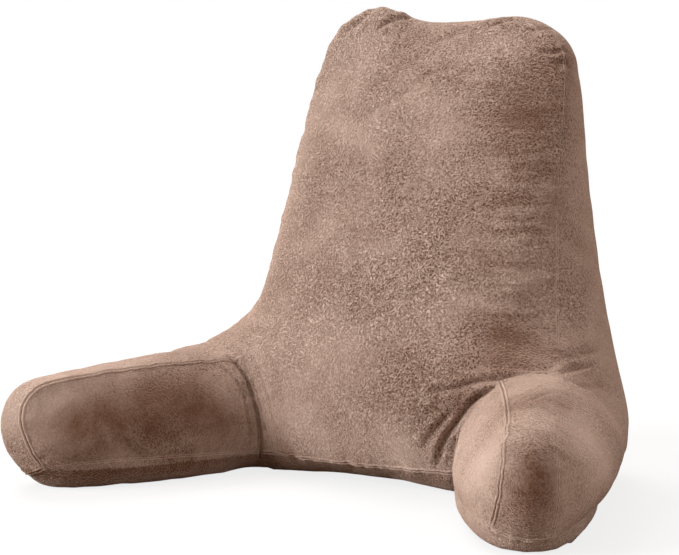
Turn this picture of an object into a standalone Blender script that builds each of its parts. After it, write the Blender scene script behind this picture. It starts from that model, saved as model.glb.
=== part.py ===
"""Reading pillow with arms: a stuffed backrest that stands on its own base, with two stuffed arms.

Frame: +X to the right seen from the front, the front faces -Y, +Z up, metres.
Origin: on the floor under the middle of the pillow's box. Symmetric about X = 0.
The sewn cover is drawn as one coarse cage whose creased edges are the seams. A Subdivision
Surface stuffs it, the floor flattens it, and it is then parted at the two arm roots into three
filled solids: backrest, arm_left and arm_right.
"""
import math

import bmesh
import bpy
from mathutils import Vector

# ---- driving dimensions (metres) ----
PANEL_LEVELS = 2          # subdivision of each cage face
ROOT_GAP = 0.0003         # slit between an arm and the backrest
FLOOR = 0.0               # the stuffed base is pressed flat at this height
ARM_SPLAY = math.radians(19.8)   # how far each arm points outwards from straight ahead
ARM_ROOT = (0.152, -0.192)       # x, y of the low inner corner where the arm leaves the front panel
SHARP_ANGLE = math.radians(24)   # an edge that folds more than this is drawn as an edge

# Backrest, one row per level of the cage, from the bottom seam to the top seam.
# seam = front/side seam, side = the middle of the side gusset, rear = rear/side seam.
# front_y = the front panel on the middle line, rear_mid_y = the rear panel on the middle line.
# The three lowest levels have no front/side seam: the arm grows out of the backrest there.
LEVEL_COLUMNS = ("z", "seam_x", "seam_y", "front_y", "side_x", "side_y", "rear_x", "rear_y", "rear_mid_y")
LEVELS = (
    (0.030, None, None, -0.203, 0.300, -0.030, 0.247, 0.082, 0.100),
    (0.075, None, None, -0.222, 0.330, -0.030, 0.256, 0.088, 0.135),
    (0.120, None, None, -0.218, 0.331, -0.030, 0.252, 0.091, 0.142),
    (0.170, 0.277, -0.147, -0.200, 0.307, -0.035, 0.244, 0.093, 0.145),
    (0.205, 0.237, -0.073, -0.182, 0.287, -0.008, 0.235, 0.095, 0.147),
    (0.260, 0.229, -0.055, -0.158, 0.264, 0.017, 0.224, 0.098, 0.150),
    (0.340, 0.219, -0.034, -0.118, 0.243, 0.036, 0.210, 0.102, 0.152),
    (0.430, 0.209, -0.010, -0.072, 0.224, 0.058, 0.194, 0.108, 0.152),
    (0.530, 0.204, 0.027, -0.016, 0.207, 0.080, 0.178, 0.116, 0.150),
)
# Columns of each panel from the middle line to its seam: the share of the seam's half width,
# and the share of the panel's crown.
FRONT_SHARE = (0.0, 0.37, 0.73, 0.88, 1.0)
FRONT_DEPTH = (1.0, 0.93, 0.66, 0.42, 0.0)
REAR_SHARE = (0.0, 0.30, 0.60, 0.82, 1.0)
REAR_DEPTH = (1.0, 0.93, 0.68, 0.40, 0.0)
SEAM_COLUMN = 4           # the column that lies on the panel's seam
# The front panel between the arms: the same two shares, of the way out to the arm's root.
SEAT_SHARE = (0.0, 0.56)
SEAT_DEPTH = (0.0, 0.12)

# Top edge, from the middle line outwards: the drawn-in dip, the ear and the rounded corner.
TOP_COLUMNS = ("front_x", "front_y", "front_z", "mid_x", "mid_y", "mid_z", "rear_x", "rear_y", "rear_z")
TOP = (
    (0.000, 0.050, 0.617, 0.000, 0.088, 0.625, 0.000, 0.125, 0.603),
    (0.058, 0.052, 0.622, 0.056, 0.090, 0.630, 0.052, 0.127, 0.606),
    (0.108, 0.055, 0.643, 0.107, 0.093, 0.643, 0.097, 0.127, 0.616),
    (0.150, 0.055, 0.634, 0.147, 0.092, 0.633, 0.132, 0.125, 0.607),
    (0.190, 0.049, 0.600, 0.190, 0.088, 0.598, 0.164, 0.121, 0.584),
)

# Underside of the backrest: a row of points below the floor, which the floor presses flat.
UNDER_STEP = 0.075        # from one point to the next, outwards
UNDER_Y = -0.045
UNDER_Z = -0.060

# Points around an arm, from the low inner seam over the top and back underneath.
ARM_POINTS = ("low_inner", "inner_bulge", "inner_high", "top_inner", "top_crown", "top_outer",
              "outer_high", "outer_bulge", "low_outer", "under_outer", "under_inner")
ARM_SEAMS = ("low_inner", "top_inner", "top_outer", "low_outer")

# Root ring: where an arm leaves the backrest, in the arm's root plane. Each point is also a point
# of the front panel's cage, at the given column and level. One point serves the underside.
ROOT_COLUMNS = ("across", "z", "column", "level")
ROOT = (
    (0.0000, 0.030, 2, 0),
    (-0.0010, 0.072, 2, 1),
    (0.0165, 0.116, 2, 2),
    (0.0554, 0.153, 2, 3),
    (0.0940, 0.168, 3, 3),
    (0.1329, 0.170, 4, 3),
    (0.1920, 0.130, 4, 2),
    (0.2280, 0.075, 4, 1),
    (0.1890, 0.028, 4, 0),
    (0.0900, -0.060, 3, 0),
)
ROOT_COLUMN = 2           # the front panel's column that meets the arm's inner side
ROOT_LEVEL = 3            # the level at which the arm's top meets the backrest

# Arm stations: the distance along the arm, then (across, z) for each of ARM_POINTS.
ARM_STATIONS = (
    (0.070, (0.009, 0.035), (0.000, 0.075), (0.034, 0.122), (0.067, 0.156), (0.106, 0.168),
     (0.145, 0.158), (0.203, 0.134), (0.228, 0.068), (0.190, 0.030), (0.192, -0.016), (0.002, -0.010)),
    (0.140, (0.018, 0.038), (0.008, 0.076), (0.044, 0.121), (0.078, 0.154), (0.115, 0.162),
     (0.150, 0.150), (0.201, 0.125), (0.224, 0.064), (0.187, 0.030), (0.188, -0.016), (0.014, -0.010)),
    (0.210, (0.036, 0.039), (0.019, 0.074), (0.056, 0.117), (0.088, 0.150), (0.121, 0.155),
     (0.153, 0.143), (0.196, 0.115), (0.215, 0.060), (0.178, 0.028), (0.178, -0.016), (0.040, -0.010)),
    (0.262, (0.058, 0.037), (0.041, 0.070), (0.074, 0.108), (0.096, 0.144), (0.127, 0.149),
     (0.156, 0.136), (0.188, 0.106), (0.200, 0.056), (0.164, 0.025), (0.160, -0.016), (0.068, -0.012)),
)

# Tip: (along, across, z) of the ring of seams around the boxing strip, in the order of ARM_POINTS
# with one point for the underside, then the strip's own two middle points.
TIP_RING = (
    (0.293, 0.078, 0.030), (0.310, 0.093, 0.067), (0.323, 0.103, 0.107), (0.294, 0.101, 0.140),
    (0.308, 0.131, 0.142), (0.290, 0.157, 0.131), (0.313, 0.159, 0.099), (0.312, 0.159, 0.057),
    (0.289, 0.146, 0.018), (0.298, 0.114, 0.019),
)
TIP_LOW = (0.332, 0.126, 0.055)
TIP_HIGH = (0.336, 0.130, 0.101)

PIECES = ("backrest", "arm_left", "arm_right")
VELVET = (0.30, 0.195, 0.145, 1.0)
ROUGHNESS = 0.85


def rows(columns, table):
    """Give each row of a table its column names."""
    return [dict(zip(columns, row)) for row in table]


def arm_point(side, along, across, z):
    """A point of an arm from its own axes: along the arm, across it (outwards) and up."""
    x = ARM_ROOT[0] + along * math.sin(ARM_SPLAY) + across * math.cos(ARM_SPLAY)
    y = ARM_ROOT[1] - along * math.cos(ARM_SPLAY) + across * math.sin(ARM_SPLAY)
    return Vector((side * x, y, z))


class Cage:
    """The coarse cage of the sewn cover: named points, faces with a piece number, creased seams."""

    def __init__(self):
        self.mesh = bmesh.new()
        self.points = {}
        self.crease = self.mesh.edges.layers.float.new("crease_edge")

    def put(self, key, co):
        """A point, made once: both sides share the points on the middle line."""
        if key not in self.points:
            self.points[key] = self.mesh.verts.new(co)

    def face(self, keys, piece, side):
        """A face wound for the right side; the left side is its mirror. A key named twice counts once."""
        corners = [self.points[key] for key in dict.fromkeys(keys)]
        if side < 0:
            corners.reverse()
        made = self.mesh.faces.new(corners)
        made.material_index = PIECES.index(piece)
        made.smooth = True

    def seam(self, keys):
        """Crease the edges along a row of points."""
        for one, two in zip(keys[:-1], keys[1:]):
            edge = self.mesh.edges.get((self.points[one], self.points[two]))
            edge[self.crease] = 1.0


def side_key(side, row, column, *level):
    """The name of a backrest point; on the middle line it belongs to both sides."""
    return (row, column) + level if column == 0 else (side, row, column) + level


def front_point(side, level, i, j):
    """A point of the front panel at column i of level j, or None inside the arm's root."""
    if j >= ROOT_LEVEL:
        crown = level["front_y"] - level["seam_y"]
        y = level["seam_y"] + crown * FRONT_DEPTH[i]
        return Vector((side * level["seam_x"] * FRONT_SHARE[i], y, level["z"]))
    if i >= ROOT_COLUMN:
        return None
    root = rows(ROOT_COLUMNS, ROOT)[j]
    inner = arm_point(1, 0.0, root["across"], root["z"])
    y = level["front_y"] + (inner.y - level["front_y"]) * SEAT_DEPTH[i]
    return Vector((side * inner.x * SEAT_SHARE[i], y, level["z"]))


def backrest_points(cage, side):
    """Put the backrest's points on one side and return the number of the top row."""
    levels = rows(LEVEL_COLUMNS, LEVELS)
    for point in rows(ROOT_COLUMNS, ROOT):
        key = side_key(side, "front", point["column"], point["level"])
        cage.put(key, arm_point(side, 0.0, point["across"], point["z"]))
    for j, level in enumerate(levels):
        for i in range(SEAM_COLUMN + 1):
            point = front_point(side, level, i, j)
            if point:
                cage.put(side_key(side, "front", i, j), point)
            y = level["rear_y"] + (level["rear_mid_y"] - level["rear_y"]) * REAR_DEPTH[i]
            cage.put(side_key(side, "rear", i, j), (side * level["rear_x"] * REAR_SHARE[i], y, level["z"]))
        cage.put((side, "side", j), (side * level["side_x"], level["side_y"], level["z"]))
    top = len(levels)
    for i, edge in enumerate(rows(TOP_COLUMNS, TOP)):
        for part, name in (("front", "front"), ("mid", "top"), ("rear", "rear")):
            point = (side * edge[part + "_x"], edge[part + "_y"], edge[part + "_z"])
            cage.put(side_key(side, name, i, top), point)
    for i in range(SEAM_COLUMN):
        cage.put(side_key(side, "under", i), (side * UNDER_STEP * i, UNDER_Y, UNDER_Z))
    return top


def backrest_faces(cage, side, top):
    """Front and rear panels, side and top gusset and underside of one side, and their seams."""
    def key(*name):
        return side_key(side, *name)

    for j in range(top):
        for i in range(SEAM_COLUMN):
            if j >= ROOT_LEVEL or i < ROOT_COLUMN:
                cage.face((key("front", i, j), key("front", i + 1, j), key("front", i + 1, j + 1),
                           key("front", i, j + 1)), "backrest", side)
            cage.face((key("rear", i, j), key("rear", i, j + 1), key("rear", i + 1, j + 1),
                       key("rear", i + 1, j)), "backrest", side)
        low = (side, "side", j)
        high = (side, "side", j + 1) if j < top - 1 else key("top", SEAM_COLUMN, top)
        cage.face((key("front", SEAM_COLUMN, j), low, high, key("front", SEAM_COLUMN, j + 1)),
                  "backrest", side)
        cage.face((low, key("rear", SEAM_COLUMN, j), key("rear", SEAM_COLUMN, j + 1), high),
                  "backrest", side)
    for i in range(SEAM_COLUMN):
        cage.face((key("front", i, top), key("front", i + 1, top), key("top", i + 1, top),
                   key("top", i, top)), "backrest", side)
        cage.face((key("top", i, top), key("top", i + 1, top), key("rear", i + 1, top),
                   key("rear", i, top)), "backrest", side)
        one = key("under", i)
        two = key("under", i + 1) if i < SEAM_COLUMN - 1 else (side, "side", 0)
        cage.face((key("front", i, 0), one, two, key("front", i + 1, 0)), "backrest", side)
        cage.face((one, key("rear", i, 0), key("rear", i + 1, 0), two), "backrest", side)
    columns = range(SEAM_COLUMN + 1)
    cage.seam([key("front", SEAM_COLUMN, j) for j in range(ROOT_LEVEL, top + 1)])
    cage.seam([key("rear", SEAM_COLUMN, j) for j in range(1, top + 1)])
    cage.seam([key("front", i, top) for i in columns])
    cage.seam([key("rear", i, top) for i in columns])
    cage.seam([key("front", i, 0) for i in range(ROOT_COLUMN + 1)])
    cage.seam([key("rear", i, 0) for i in columns])
    cage.seam([key("front", SEAM_COLUMN, 0), (side, "side", 0), key("rear", SEAM_COLUMN, 0)])


def arm_faces(cage, side, piece):
    """One arm from its root ring through its stations to the closed tip, and its seams."""
    root = [side_key(side, "front", point["column"], point["level"]) for point in rows(ROOT_COLUMNS, ROOT)]
    rings = [root + root[-1:]]
    for k, (along, *section) in enumerate(ARM_STATIONS):
        rings.append([(side, "arm", k, name) for name in ARM_POINTS])
        for key, (across, z) in zip(rings[-1], section):
            cage.put(key, arm_point(side, along, across, z))
    tip = [(side, "tip", n) for n in range(len(TIP_RING))]
    for key, point in zip(tip, TIP_RING):
        cage.put(key, arm_point(side, *point))
    rings.append(tip + tip[-1:])
    for near, far in zip(rings[:-1], rings[1:]):
        for n in range(len(ARM_POINTS)):
            cage.face((near[n - 1], far[n - 1], far[n], near[n]), piece, side)
    low, high = (side, "tip", "low"), (side, "tip", "high")
    cage.put(low, arm_point(side, *TIP_LOW))
    cage.put(high, arm_point(side, *TIP_HIGH))
    ring = dict(zip(ARM_POINTS, rings[-1]))
    under = ring["under_inner"]
    for quad in ((ring["low_inner"], under, low, ring["inner_bulge"]),
                 (under, ring["low_outer"], ring["outer_bulge"], low),
                 (ring["inner_bulge"], low, high, ring["inner_high"]),
                 (low, ring["outer_bulge"], ring["outer_high"], high),
                 (ring["inner_high"], high, ring["top_crown"], ring["top_inner"]),
                 (high, ring["outer_high"], ring["top_outer"], ring["top_crown"])):
        cage.face(quad, piece, side)
    for name in ARM_SEAMS:
        cage.seam([ring[ARM_POINTS.index(name)] for ring in rings])
    inner = ("low_inner", "inner_bulge", "inner_high", "top_inner")
    outer = ("top_outer", "outer_high", "outer_bulge", "low_outer")
    cage.seam([rings[0][ARM_POINTS.index(name)] for name in inner + ("top_crown", "top_outer")])
    cage.seam([ring[name] for name in inner])
    cage.seam([ring[name] for name in outer + ("under_inner", "low_inner")])


def stuffed_cover():
    """The whole cover, its cage stuffed by a Subdivision Surface and pressed flat on the floor."""
    cage = Cage()
    for side, piece in ((1, "arm_right"), (-1, "arm_left")):
        top = backrest_points(cage, side)
        backrest_faces(cage, side, top)
        arm_faces(cage, side, piece)
    data = bpy.data.meshes.new("cover_cage")
    cage.mesh.to_mesh(data)
    cage.mesh.free()
    cover = bpy.data.objects.new("cover_cage", data)
    bpy.context.scene.collection.objects.link(cover)
    stuffing = cover.modifiers.new("stuffing", "SUBSURF")
    stuffing.levels = PANEL_LEVELS
    stuffing.render_levels = PANEL_LEVELS
    stuffed = bmesh.new()
    stuffed.from_object(cover, bpy.context.evaluated_depsgraph_get())
    bpy.data.objects.remove(cover)
    bpy.data.meshes.remove(data)
    for vert in stuffed.verts:
        vert.co.z = max(vert.co.z, FLOOR)
    return stuffed


def close_root(piece, side, shift):
    """Lay the open loop of one arm's root in the root plane, moved by shift along the arm, and close it."""
    start = arm_point(side, 0.0, 0.0, 0.0)
    way = (arm_point(side, 1.0, 0.0, 0.0) - start).normalized()
    rim = [edge for edge in piece.edges
           if edge.is_boundary and all(vert.co.x * side > 0 for vert in edge.verts)]
    for vert in {vert for edge in rim for vert in edge.verts}:
        vert.co -= way * ((vert.co - start).dot(way) - shift)
    if rim:
        lid = bmesh.ops.contextual_create(piece, geom=rim)["faces"]
        bmesh.ops.triangulate(piece, faces=lid)


def part_piece(stuffed, name):
    """One filled solid of the cover: its own faces, closed at the arm roots, flat where it stands."""
    number = PIECES.index(name)
    shift = -ROOT_GAP / 2 if name == "backrest" else ROOT_GAP / 2
    piece = stuffed.copy()
    others = [face for face in piece.faces if face.material_index != number]
    bmesh.ops.delete(piece, geom=others, context="FACES")
    for side in (1, -1):
        close_root(piece, side, shift)
    bmesh.ops.recalc_face_normals(piece, faces=piece.faces)
    flat = {face for face in piece.faces if all(vert.co.z == FLOOR for vert in face.verts)}
    inside = [edge for edge in piece.edges if flat.issuperset(edge.link_faces)]
    bmesh.ops.dissolve_edges(piece, edges=inside, use_verts=False)
    for face in piece.faces:
        face.material_index = 0
    return piece


def cloth(name):
    """The velvet of one piece."""
    material = bpy.data.materials.new(name + "_velvet")
    material.use_nodes = True
    shader = material.node_tree.nodes["Principled BSDF"]
    shader.inputs["Base Color"].default_value = VELVET
    shader.inputs["Roughness"].default_value = ROUGHNESS
    shader.inputs["Metallic"].default_value = 0.0
    material.diffuse_color = VELVET
    return material


def main():
    for old in list(bpy.data.objects):
        bpy.data.objects.remove(old)
    stuffed = stuffed_cover()
    reach = [vert.co.y for vert in stuffed.verts]
    middle_y = (min(reach) + max(reach)) / 2
    for name in PIECES:
        piece = part_piece(stuffed, name)
        bmesh.ops.translate(piece, vec=(0.0, -middle_y, 0.0), verts=piece.verts)
        data = bpy.data.meshes.new(name)
        piece.to_mesh(data)
        piece.free()
        data.materials.append(cloth(name))
        data.shade_smooth()
        data.set_sharp_from_angle(angle=SHARP_ANGLE)
        bpy.context.scene.collection.objects.link(bpy.data.objects.new(name, data))
    stuffed.free()


main()
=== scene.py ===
# %% [markdown]
# # A reading pillow with arms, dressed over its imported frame
#
# The real pillow is one sewn velvet cover, stuffed until it stands on its own base. The frame holds
# three plain solids: the backrest and two arms. This lesson turns them into that one cover, finds
# its seams, stuffs it with a short cloth simulation, lays the folds, sews the seams and finishes
# the velvet. Everything is in metres, in the frame's own axes: +X right, the front faces -Y, +Z up.
# The frame comes first, because every later step measures itself against it.

import heapq
import math
import time

import bmesh
import bpy
import numpy as np
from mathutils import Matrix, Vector
from mathutils.bvhtree import BVHTree
from mathutils.kdtree import KDTree


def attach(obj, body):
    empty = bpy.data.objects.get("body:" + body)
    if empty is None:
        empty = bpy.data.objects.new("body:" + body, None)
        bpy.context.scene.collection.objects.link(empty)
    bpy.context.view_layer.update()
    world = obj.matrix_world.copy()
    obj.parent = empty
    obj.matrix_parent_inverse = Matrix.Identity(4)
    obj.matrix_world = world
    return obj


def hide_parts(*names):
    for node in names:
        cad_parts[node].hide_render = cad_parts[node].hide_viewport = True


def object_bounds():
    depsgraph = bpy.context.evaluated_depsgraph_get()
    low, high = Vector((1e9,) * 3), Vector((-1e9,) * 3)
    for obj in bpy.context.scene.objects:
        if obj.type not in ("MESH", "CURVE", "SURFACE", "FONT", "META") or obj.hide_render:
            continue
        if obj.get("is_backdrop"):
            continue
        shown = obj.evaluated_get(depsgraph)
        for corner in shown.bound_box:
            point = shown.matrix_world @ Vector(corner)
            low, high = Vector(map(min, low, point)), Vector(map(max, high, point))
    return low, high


started = time.time()


def tell(*words):
    """Print what a step made, and the seconds since the start."""
    print(*words, "at", round(time.time() - started, 1), "s")


def in_mm(length):
    """A length in metres as millimetres, for printing."""
    return round(length * 1000, 1)


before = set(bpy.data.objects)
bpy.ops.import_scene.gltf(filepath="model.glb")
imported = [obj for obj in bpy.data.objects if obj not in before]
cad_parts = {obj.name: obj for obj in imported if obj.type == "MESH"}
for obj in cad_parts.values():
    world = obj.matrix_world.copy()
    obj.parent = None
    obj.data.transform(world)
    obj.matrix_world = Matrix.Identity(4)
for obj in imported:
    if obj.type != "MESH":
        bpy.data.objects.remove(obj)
cad_low, cad_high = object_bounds()
tell("frame", [tuple(round(c, 3) for c in corner) for corner in (cad_low, cad_high)])

# %% [markdown]
# ## Camera
# The photograph was taken with a long lens, a little above the arms and from the right. A camera
# can be placed by eye in the viewport. Here its numbers are fitted to the pillow's outline, because
# the folds further on were read off the photograph and are placed by looking through this camera.
# A lens of about 98 mm on a 36 mm sensor, 2.6 m away, gives the same outline.

# %% Camera
PHOTO_WIDTH = 679
PHOTO_HEIGHT = 555
FOCAL_PIXELS = 1856.0
SENSOR_MM = 36.0
EYE = Vector((1.253, -2.1312, 0.513))
YAW = math.radians(31.4)
PITCH = math.radians(5.48)

camera_data = bpy.data.cameras.new("camera")
camera_data.sensor_width = SENSOR_MM
camera_data.lens = FOCAL_PIXELS * SENSOR_MM / PHOTO_WIDTH
camera = bpy.data.objects.new("camera", camera_data)
camera.location = EYE
camera.rotation_euler = (math.pi / 2 - PITCH, 0.0, YAW)
bpy.context.scene.collection.objects.link(camera)
bpy.context.scene.camera = camera

LOOK = Vector((-math.sin(YAW) * math.cos(PITCH), math.cos(YAW) * math.cos(PITCH), -math.sin(PITCH)))
LOOK_RIGHT = Vector((math.cos(YAW), math.sin(YAW), 0.0))
LOOK_UP = LOOK_RIGHT.cross(LOOK)


def sight(px, py):
    """The direction from the eye through a pixel of the photograph."""
    right = (px - PHOTO_WIDTH / 2) / FOCAL_PIXELS
    up = (PHOTO_HEIGHT / 2 - py) / FOCAL_PIXELS
    return (LOOK + LOOK_RIGHT * right + LOOK_UP * up).normalized()


tell("lens of", round(camera_data.lens, 1), "mm")

# %% [markdown]
# ## One open skin from three solids
# The cover runs on from the backrest into each arm, so the lids that close the solids at the arm
# roots go, and the rims are welded. A boolean union would leave ragged triangles at the roots, and
# a voxel remesh would wipe out the seams, which are worth keeping as edges. The solids are
# triangles; joined in pairs they give back the even quads that subdivide and simulate well.

# %% Join the solids
ARMS = {1: "arm_right", -1: "arm_left"}
ARM_SPLAY = math.radians(19.8)
ROOT_GAP = 0.0003      # the slit between the backrest and an arm
ON_PLANE = 0.00005     # a vertex this close to a root's plane lies on it
SAME_POINT = 0.00001   # vertices this close are one
WELD = 0.0006          # vertices of the rims this close are welded
HOLE_SIDES = 8         # a gap in the weld with no more sides is filled
PAIR_BEND = math.radians(50)
PAIR_SKEW = math.radians(80)


def arm_way(side):
    """The direction in which an arm points; side is 1 for the right arm and -1 for the left."""
    return Vector((side * math.sin(ARM_SPLAY), -math.cos(ARM_SPLAY), 0.0))


def as_mesh(form, name):
    """A bmesh as new mesh data; the bmesh is freed."""
    data = bpy.data.meshes.new(name)
    form.to_mesh(data)
    form.free()
    return data


def without_lids(name, lids):
    """A copy of a node's mesh without the lids that lie in the given root planes."""
    form = bmesh.new()
    form.from_mesh(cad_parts[name].data)
    bmesh.ops.remove_doubles(form, verts=form.verts, dist=SAME_POINT)
    for side, at in lids:
        way = arm_way(side)
        rim = {vert for vert in form.verts if vert.co.x * side > 0 and abs(vert.co.dot(way) - at) < ON_PLANE}
        lid = [face for face in form.faces if rim.issuperset(face.verts)]
        bmesh.ops.delete(form, geom=lid, context="FACES")
    return as_mesh(form, name + "_open")


root_at = {}
for side, name in ARMS.items():
    way = arm_way(side)
    root_at[side] = min(vert.co.dot(way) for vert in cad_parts[name].data.vertices)
skin = bmesh.new()
skin.from_mesh(without_lids("backrest", [(side, root_at[side] - ROOT_GAP) for side in ARMS]))
for side, name in ARMS.items():
    skin.from_mesh(without_lids(name, [(side, root_at[side])]))
bmesh.ops.remove_doubles(skin, verts=skin.verts, dist=WELD)
rims = [edge for edge in skin.edges if edge.is_boundary]
bmesh.ops.holes_fill(skin, edges=rims, sides=HOLE_SIDES)
bmesh.ops.join_triangles(skin, faces=skin.faces, angle_face_threshold=PAIR_BEND,
                         angle_shape_threshold=PAIR_SKEW)
bmesh.ops.recalc_face_normals(skin, faces=skin.faces)
open_edges = sum(not edge.is_manifold for edge in skin.edges)
tell("skin of", len(skin.faces), "faces with", open_edges, "open edges")

# %% [markdown]
# ## Writing the seams down
# A seam is where two panels of the cover meet. Each one is named here by a few points that it
# passes, written for the right-hand side and mirrored later. They could be picked by hand in edit
# mode, but the picking would be lost with the next change to the solids, and written points aren't.

# %% Write the seams down
ARM_ROOT = Vector((0.152, -0.0382, 0.0))


def arm_point(along, across, z):
    """A point of the right arm: along it from its root, across it outwards, and up."""
    sin = math.sin(ARM_SPLAY)
    cos = math.cos(ARM_SPLAY)
    return (ARM_ROOT.x + along * sin + across * cos, ARM_ROOT.y - along * cos + across * sin, z)


SEAM_LINES = {
    "front_side": (
        (0.277, 0.007, 0.168), (0.237, 0.080, 0.205), (0.219, 0.120, 0.340), (0.204, 0.178, 0.530),
        (0.188, 0.202, 0.600), (0.150, 0.208, 0.634)),
    "front_top": (
        (0.150, 0.208, 0.634), (0.108, 0.208, 0.643), (0.058, 0.206, 0.622), (0.0, 0.204, 0.618)),
    "rear_side": (
        (0.247, 0.236, 0.030), (0.224, 0.252, 0.260), (0.194, 0.262, 0.430), (0.164, 0.274, 0.584),
        (0.132, 0.279, 0.607)),
    "rear_top": (
        (0.132, 0.279, 0.607), (0.097, 0.281, 0.616), (0.052, 0.280, 0.607), (0.0, 0.279, 0.604)),
    "front_low": ((0.0, -0.049, 0.030), (0.080, -0.048, 0.030), arm_point(0.0, 0.0, 0.031)),
    "rear_low": ((0.0, 0.254, 0.030), (0.120, 0.252, 0.030), (0.247, 0.236, 0.030)),
    "side_low": ((0.247, 0.236, 0.030), (0.296, 0.124, 0.030), arm_point(0.0, 0.189, 0.028)),
    "arm_low_inner": (
        arm_point(0.0, 0.0, 0.031), arm_point(0.070, 0.009, 0.035), arm_point(0.088, 0.011, 0.036),
        arm_point(0.105, 0.014, 0.037), arm_point(0.21, 0.036, 0.039), arm_point(0.290, 0.080, 0.031)),
    "arm_top_inner": (
        arm_point(0.0, 0.0554, 0.152), arm_point(0.07, 0.067, 0.156), arm_point(0.14, 0.078, 0.153),
        arm_point(0.21, 0.088, 0.149), arm_point(0.262, 0.096, 0.144), arm_point(0.296, 0.100, 0.137)),
    "arm_tip_inner": (
        arm_point(0.296, 0.100, 0.137), arm_point(0.321, 0.102, 0.107), arm_point(0.309, 0.093, 0.067),
        arm_point(0.290, 0.080, 0.031)),
    "arm_top_outer": (
        arm_point(0.0, 0.1329, 0.169), arm_point(0.07, 0.145, 0.158), arm_point(0.14, 0.150, 0.150),
        arm_point(0.21, 0.153, 0.143), arm_point(0.262, 0.156, 0.136), arm_point(0.290, 0.157, 0.129)),
    "arm_tip_outer": (
        arm_point(0.290, 0.157, 0.129), arm_point(0.311, 0.158, 0.099), arm_point(0.309, 0.157, 0.057),
        arm_point(0.288, 0.145, 0.020)),
    "arm_tip_low": (
        arm_point(0.290, 0.080, 0.031), arm_point(0.297, 0.114, 0.021), arm_point(0.288, 0.145, 0.020)),
    "arm_low_outer": (
        arm_point(0.0, 0.189, 0.028), arm_point(0.018, 0.190, 0.029), arm_point(0.035, 0.190, 0.029),
        arm_point(0.053, 0.190, 0.030), arm_point(0.21, 0.178, 0.028), arm_point(0.288, 0.145, 0.020)),
    "root_inner": (
        arm_point(0.0, 0.0, 0.031), arm_point(0.0, 0.001, 0.072), arm_point(0.0, 0.0175, 0.116),
        arm_point(0.0, 0.0554, 0.152)),
    "root_top": (
        arm_point(0.0, 0.0554, 0.152), arm_point(0.0, 0.094, 0.166), arm_point(0.0, 0.1329, 0.169)),
}
SEAM_NUMBERS = {name: number for number, name in enumerate(SEAM_LINES, 1)}
tell(len(SEAM_LINES), "seams on each side")

# %% [markdown]
# ## Tracing the seams along the mesh
# The points say roughly where a seam runs; the cover needs the exact chain of mesh edges. That is
# the shortest way along the mesh from point to point, where an edge that folds sharply costs
# little, so the chain is drawn to the solids' own seams. Each edge of a chain gets a crease, which
# keeps it sharp when the mesh is subdivided, and the number of its seam.

# %% Trace the seams
SHARP_COST = 0.08      # what a metre of sharply folded edge costs
SHARP_FOLD = math.radians(8)
CLOSE_STOPS = 0.03     # stops nearer than this are joined straight


def tree_of(points):
    """A search tree that finds the nearest of some points."""
    tree = KDTree(len(points))
    for number, point in enumerate(points):
        tree.insert(point, number)
    tree.balance()
    return tree


def shortest_chain(start, goal):
    """The cheapest chain of vertices from start to goal along the mesh."""
    sharp_cost = SHARP_COST if (goal.co - start.co).length > CLOSE_STOPS else 1.0
    cost = {start: 0.0}
    came = {}
    queue = [(0.0, start.index, start)]
    while queue:
        spent, _, vert = heapq.heappop(queue)
        if vert is goal:
            break
        if spent > cost[vert]:
            continue
        for edge in vert.link_edges:
            fold = edge.calc_face_angle(0.0)
            price = edge.calc_length() * (sharp_cost if fold > SHARP_FOLD else 1.0)
            other = edge.other_vert(vert)
            if spent + price < cost.get(other, math.inf):
                cost[other] = spent + price
                came[other] = vert
                heapq.heappush(queue, (spent + price, other.index, other))
    chain = [goal]
    while chain[-1] is not start:
        chain.append(came[chain[-1]])
    return chain[::-1]


skin.verts.index_update()
skin.verts.ensure_lookup_table()
skin_tree = tree_of([vert.co for vert in skin.verts])
crease = skin.edges.layers.float.new("crease_edge")
seam_mark = skin.edges.layers.int.new("seam_number")
for side in ARMS:
    for name, line in SEAM_LINES.items():
        stops = [skin.verts[skin_tree.find(Vector((side * x, y, z)))[1]] for x, y, z in line]
        length = 0.0
        for one, two in zip(stops[:-1], stops[1:]):
            chain = shortest_chain(one, two)
            for near, far in zip(chain[:-1], chain[1:]):
                edge = skin.edges.get((near, far))
                edge[crease] = 1.0
                edge[seam_mark] = SEAM_NUMBERS[name]
                length += edge.calc_length()
        if side == 1:
            print("seam", name, in_mm(length), "mm")
tell("seams traced")

# %% [markdown]
# ## Meshes as arrays
# Stuffing, folding and brushing move or colour every vertex of the cover by one rule. A Python loop
# over them would do, but would take most of the running time. These helpers read and write a whole
# mesh at once as an array of numbers, in which each vertex or edge is a row.

# %% Helpers for meshes
def positions(data):
    """The place of each vertex, one row each."""
    co = np.empty(len(data.vertices) * 3)
    data.vertices.foreach_get("co", co)
    return co.reshape(-1, 3)


def set_positions(data, co):
    """Put each vertex in its new place."""
    data.vertices.foreach_set("co", co.ravel())
    data.update()


def vertex_normals(data):
    """The normal at each vertex, one row each."""
    normals = np.empty(len(data.vertices) * 3)
    data.vertices.foreach_get("normal", normals)
    return normals.reshape(-1, 3)


def edge_ends(data):
    """The numbers of the two vertices of each edge."""
    ends = np.empty(len(data.edges) * 2, dtype=np.int64)
    data.edges.foreach_get("vertices", ends)
    return ends.reshape(-1, 2)


def edge_seams(data):
    """The number of the seam that each edge lies on, 0 for none."""
    values = np.zeros(len(data.edges), dtype=np.int64)
    data.attributes["seam_number"].data.foreach_get("value", values)
    return values


tell("the backrest's solid as an array of", positions(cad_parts["backrest"].data).shape, "numbers")

# %% [markdown]
# ## A finer cover
# Simulated cloth can bend only along its edges, so the skin is subdivided once before it is
# stuffed. The creases keep the seams as edges. A subdivision modifier could stay on the object;
# here its result is taken as new mesh data, because the next steps need the vertices themselves.

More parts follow.
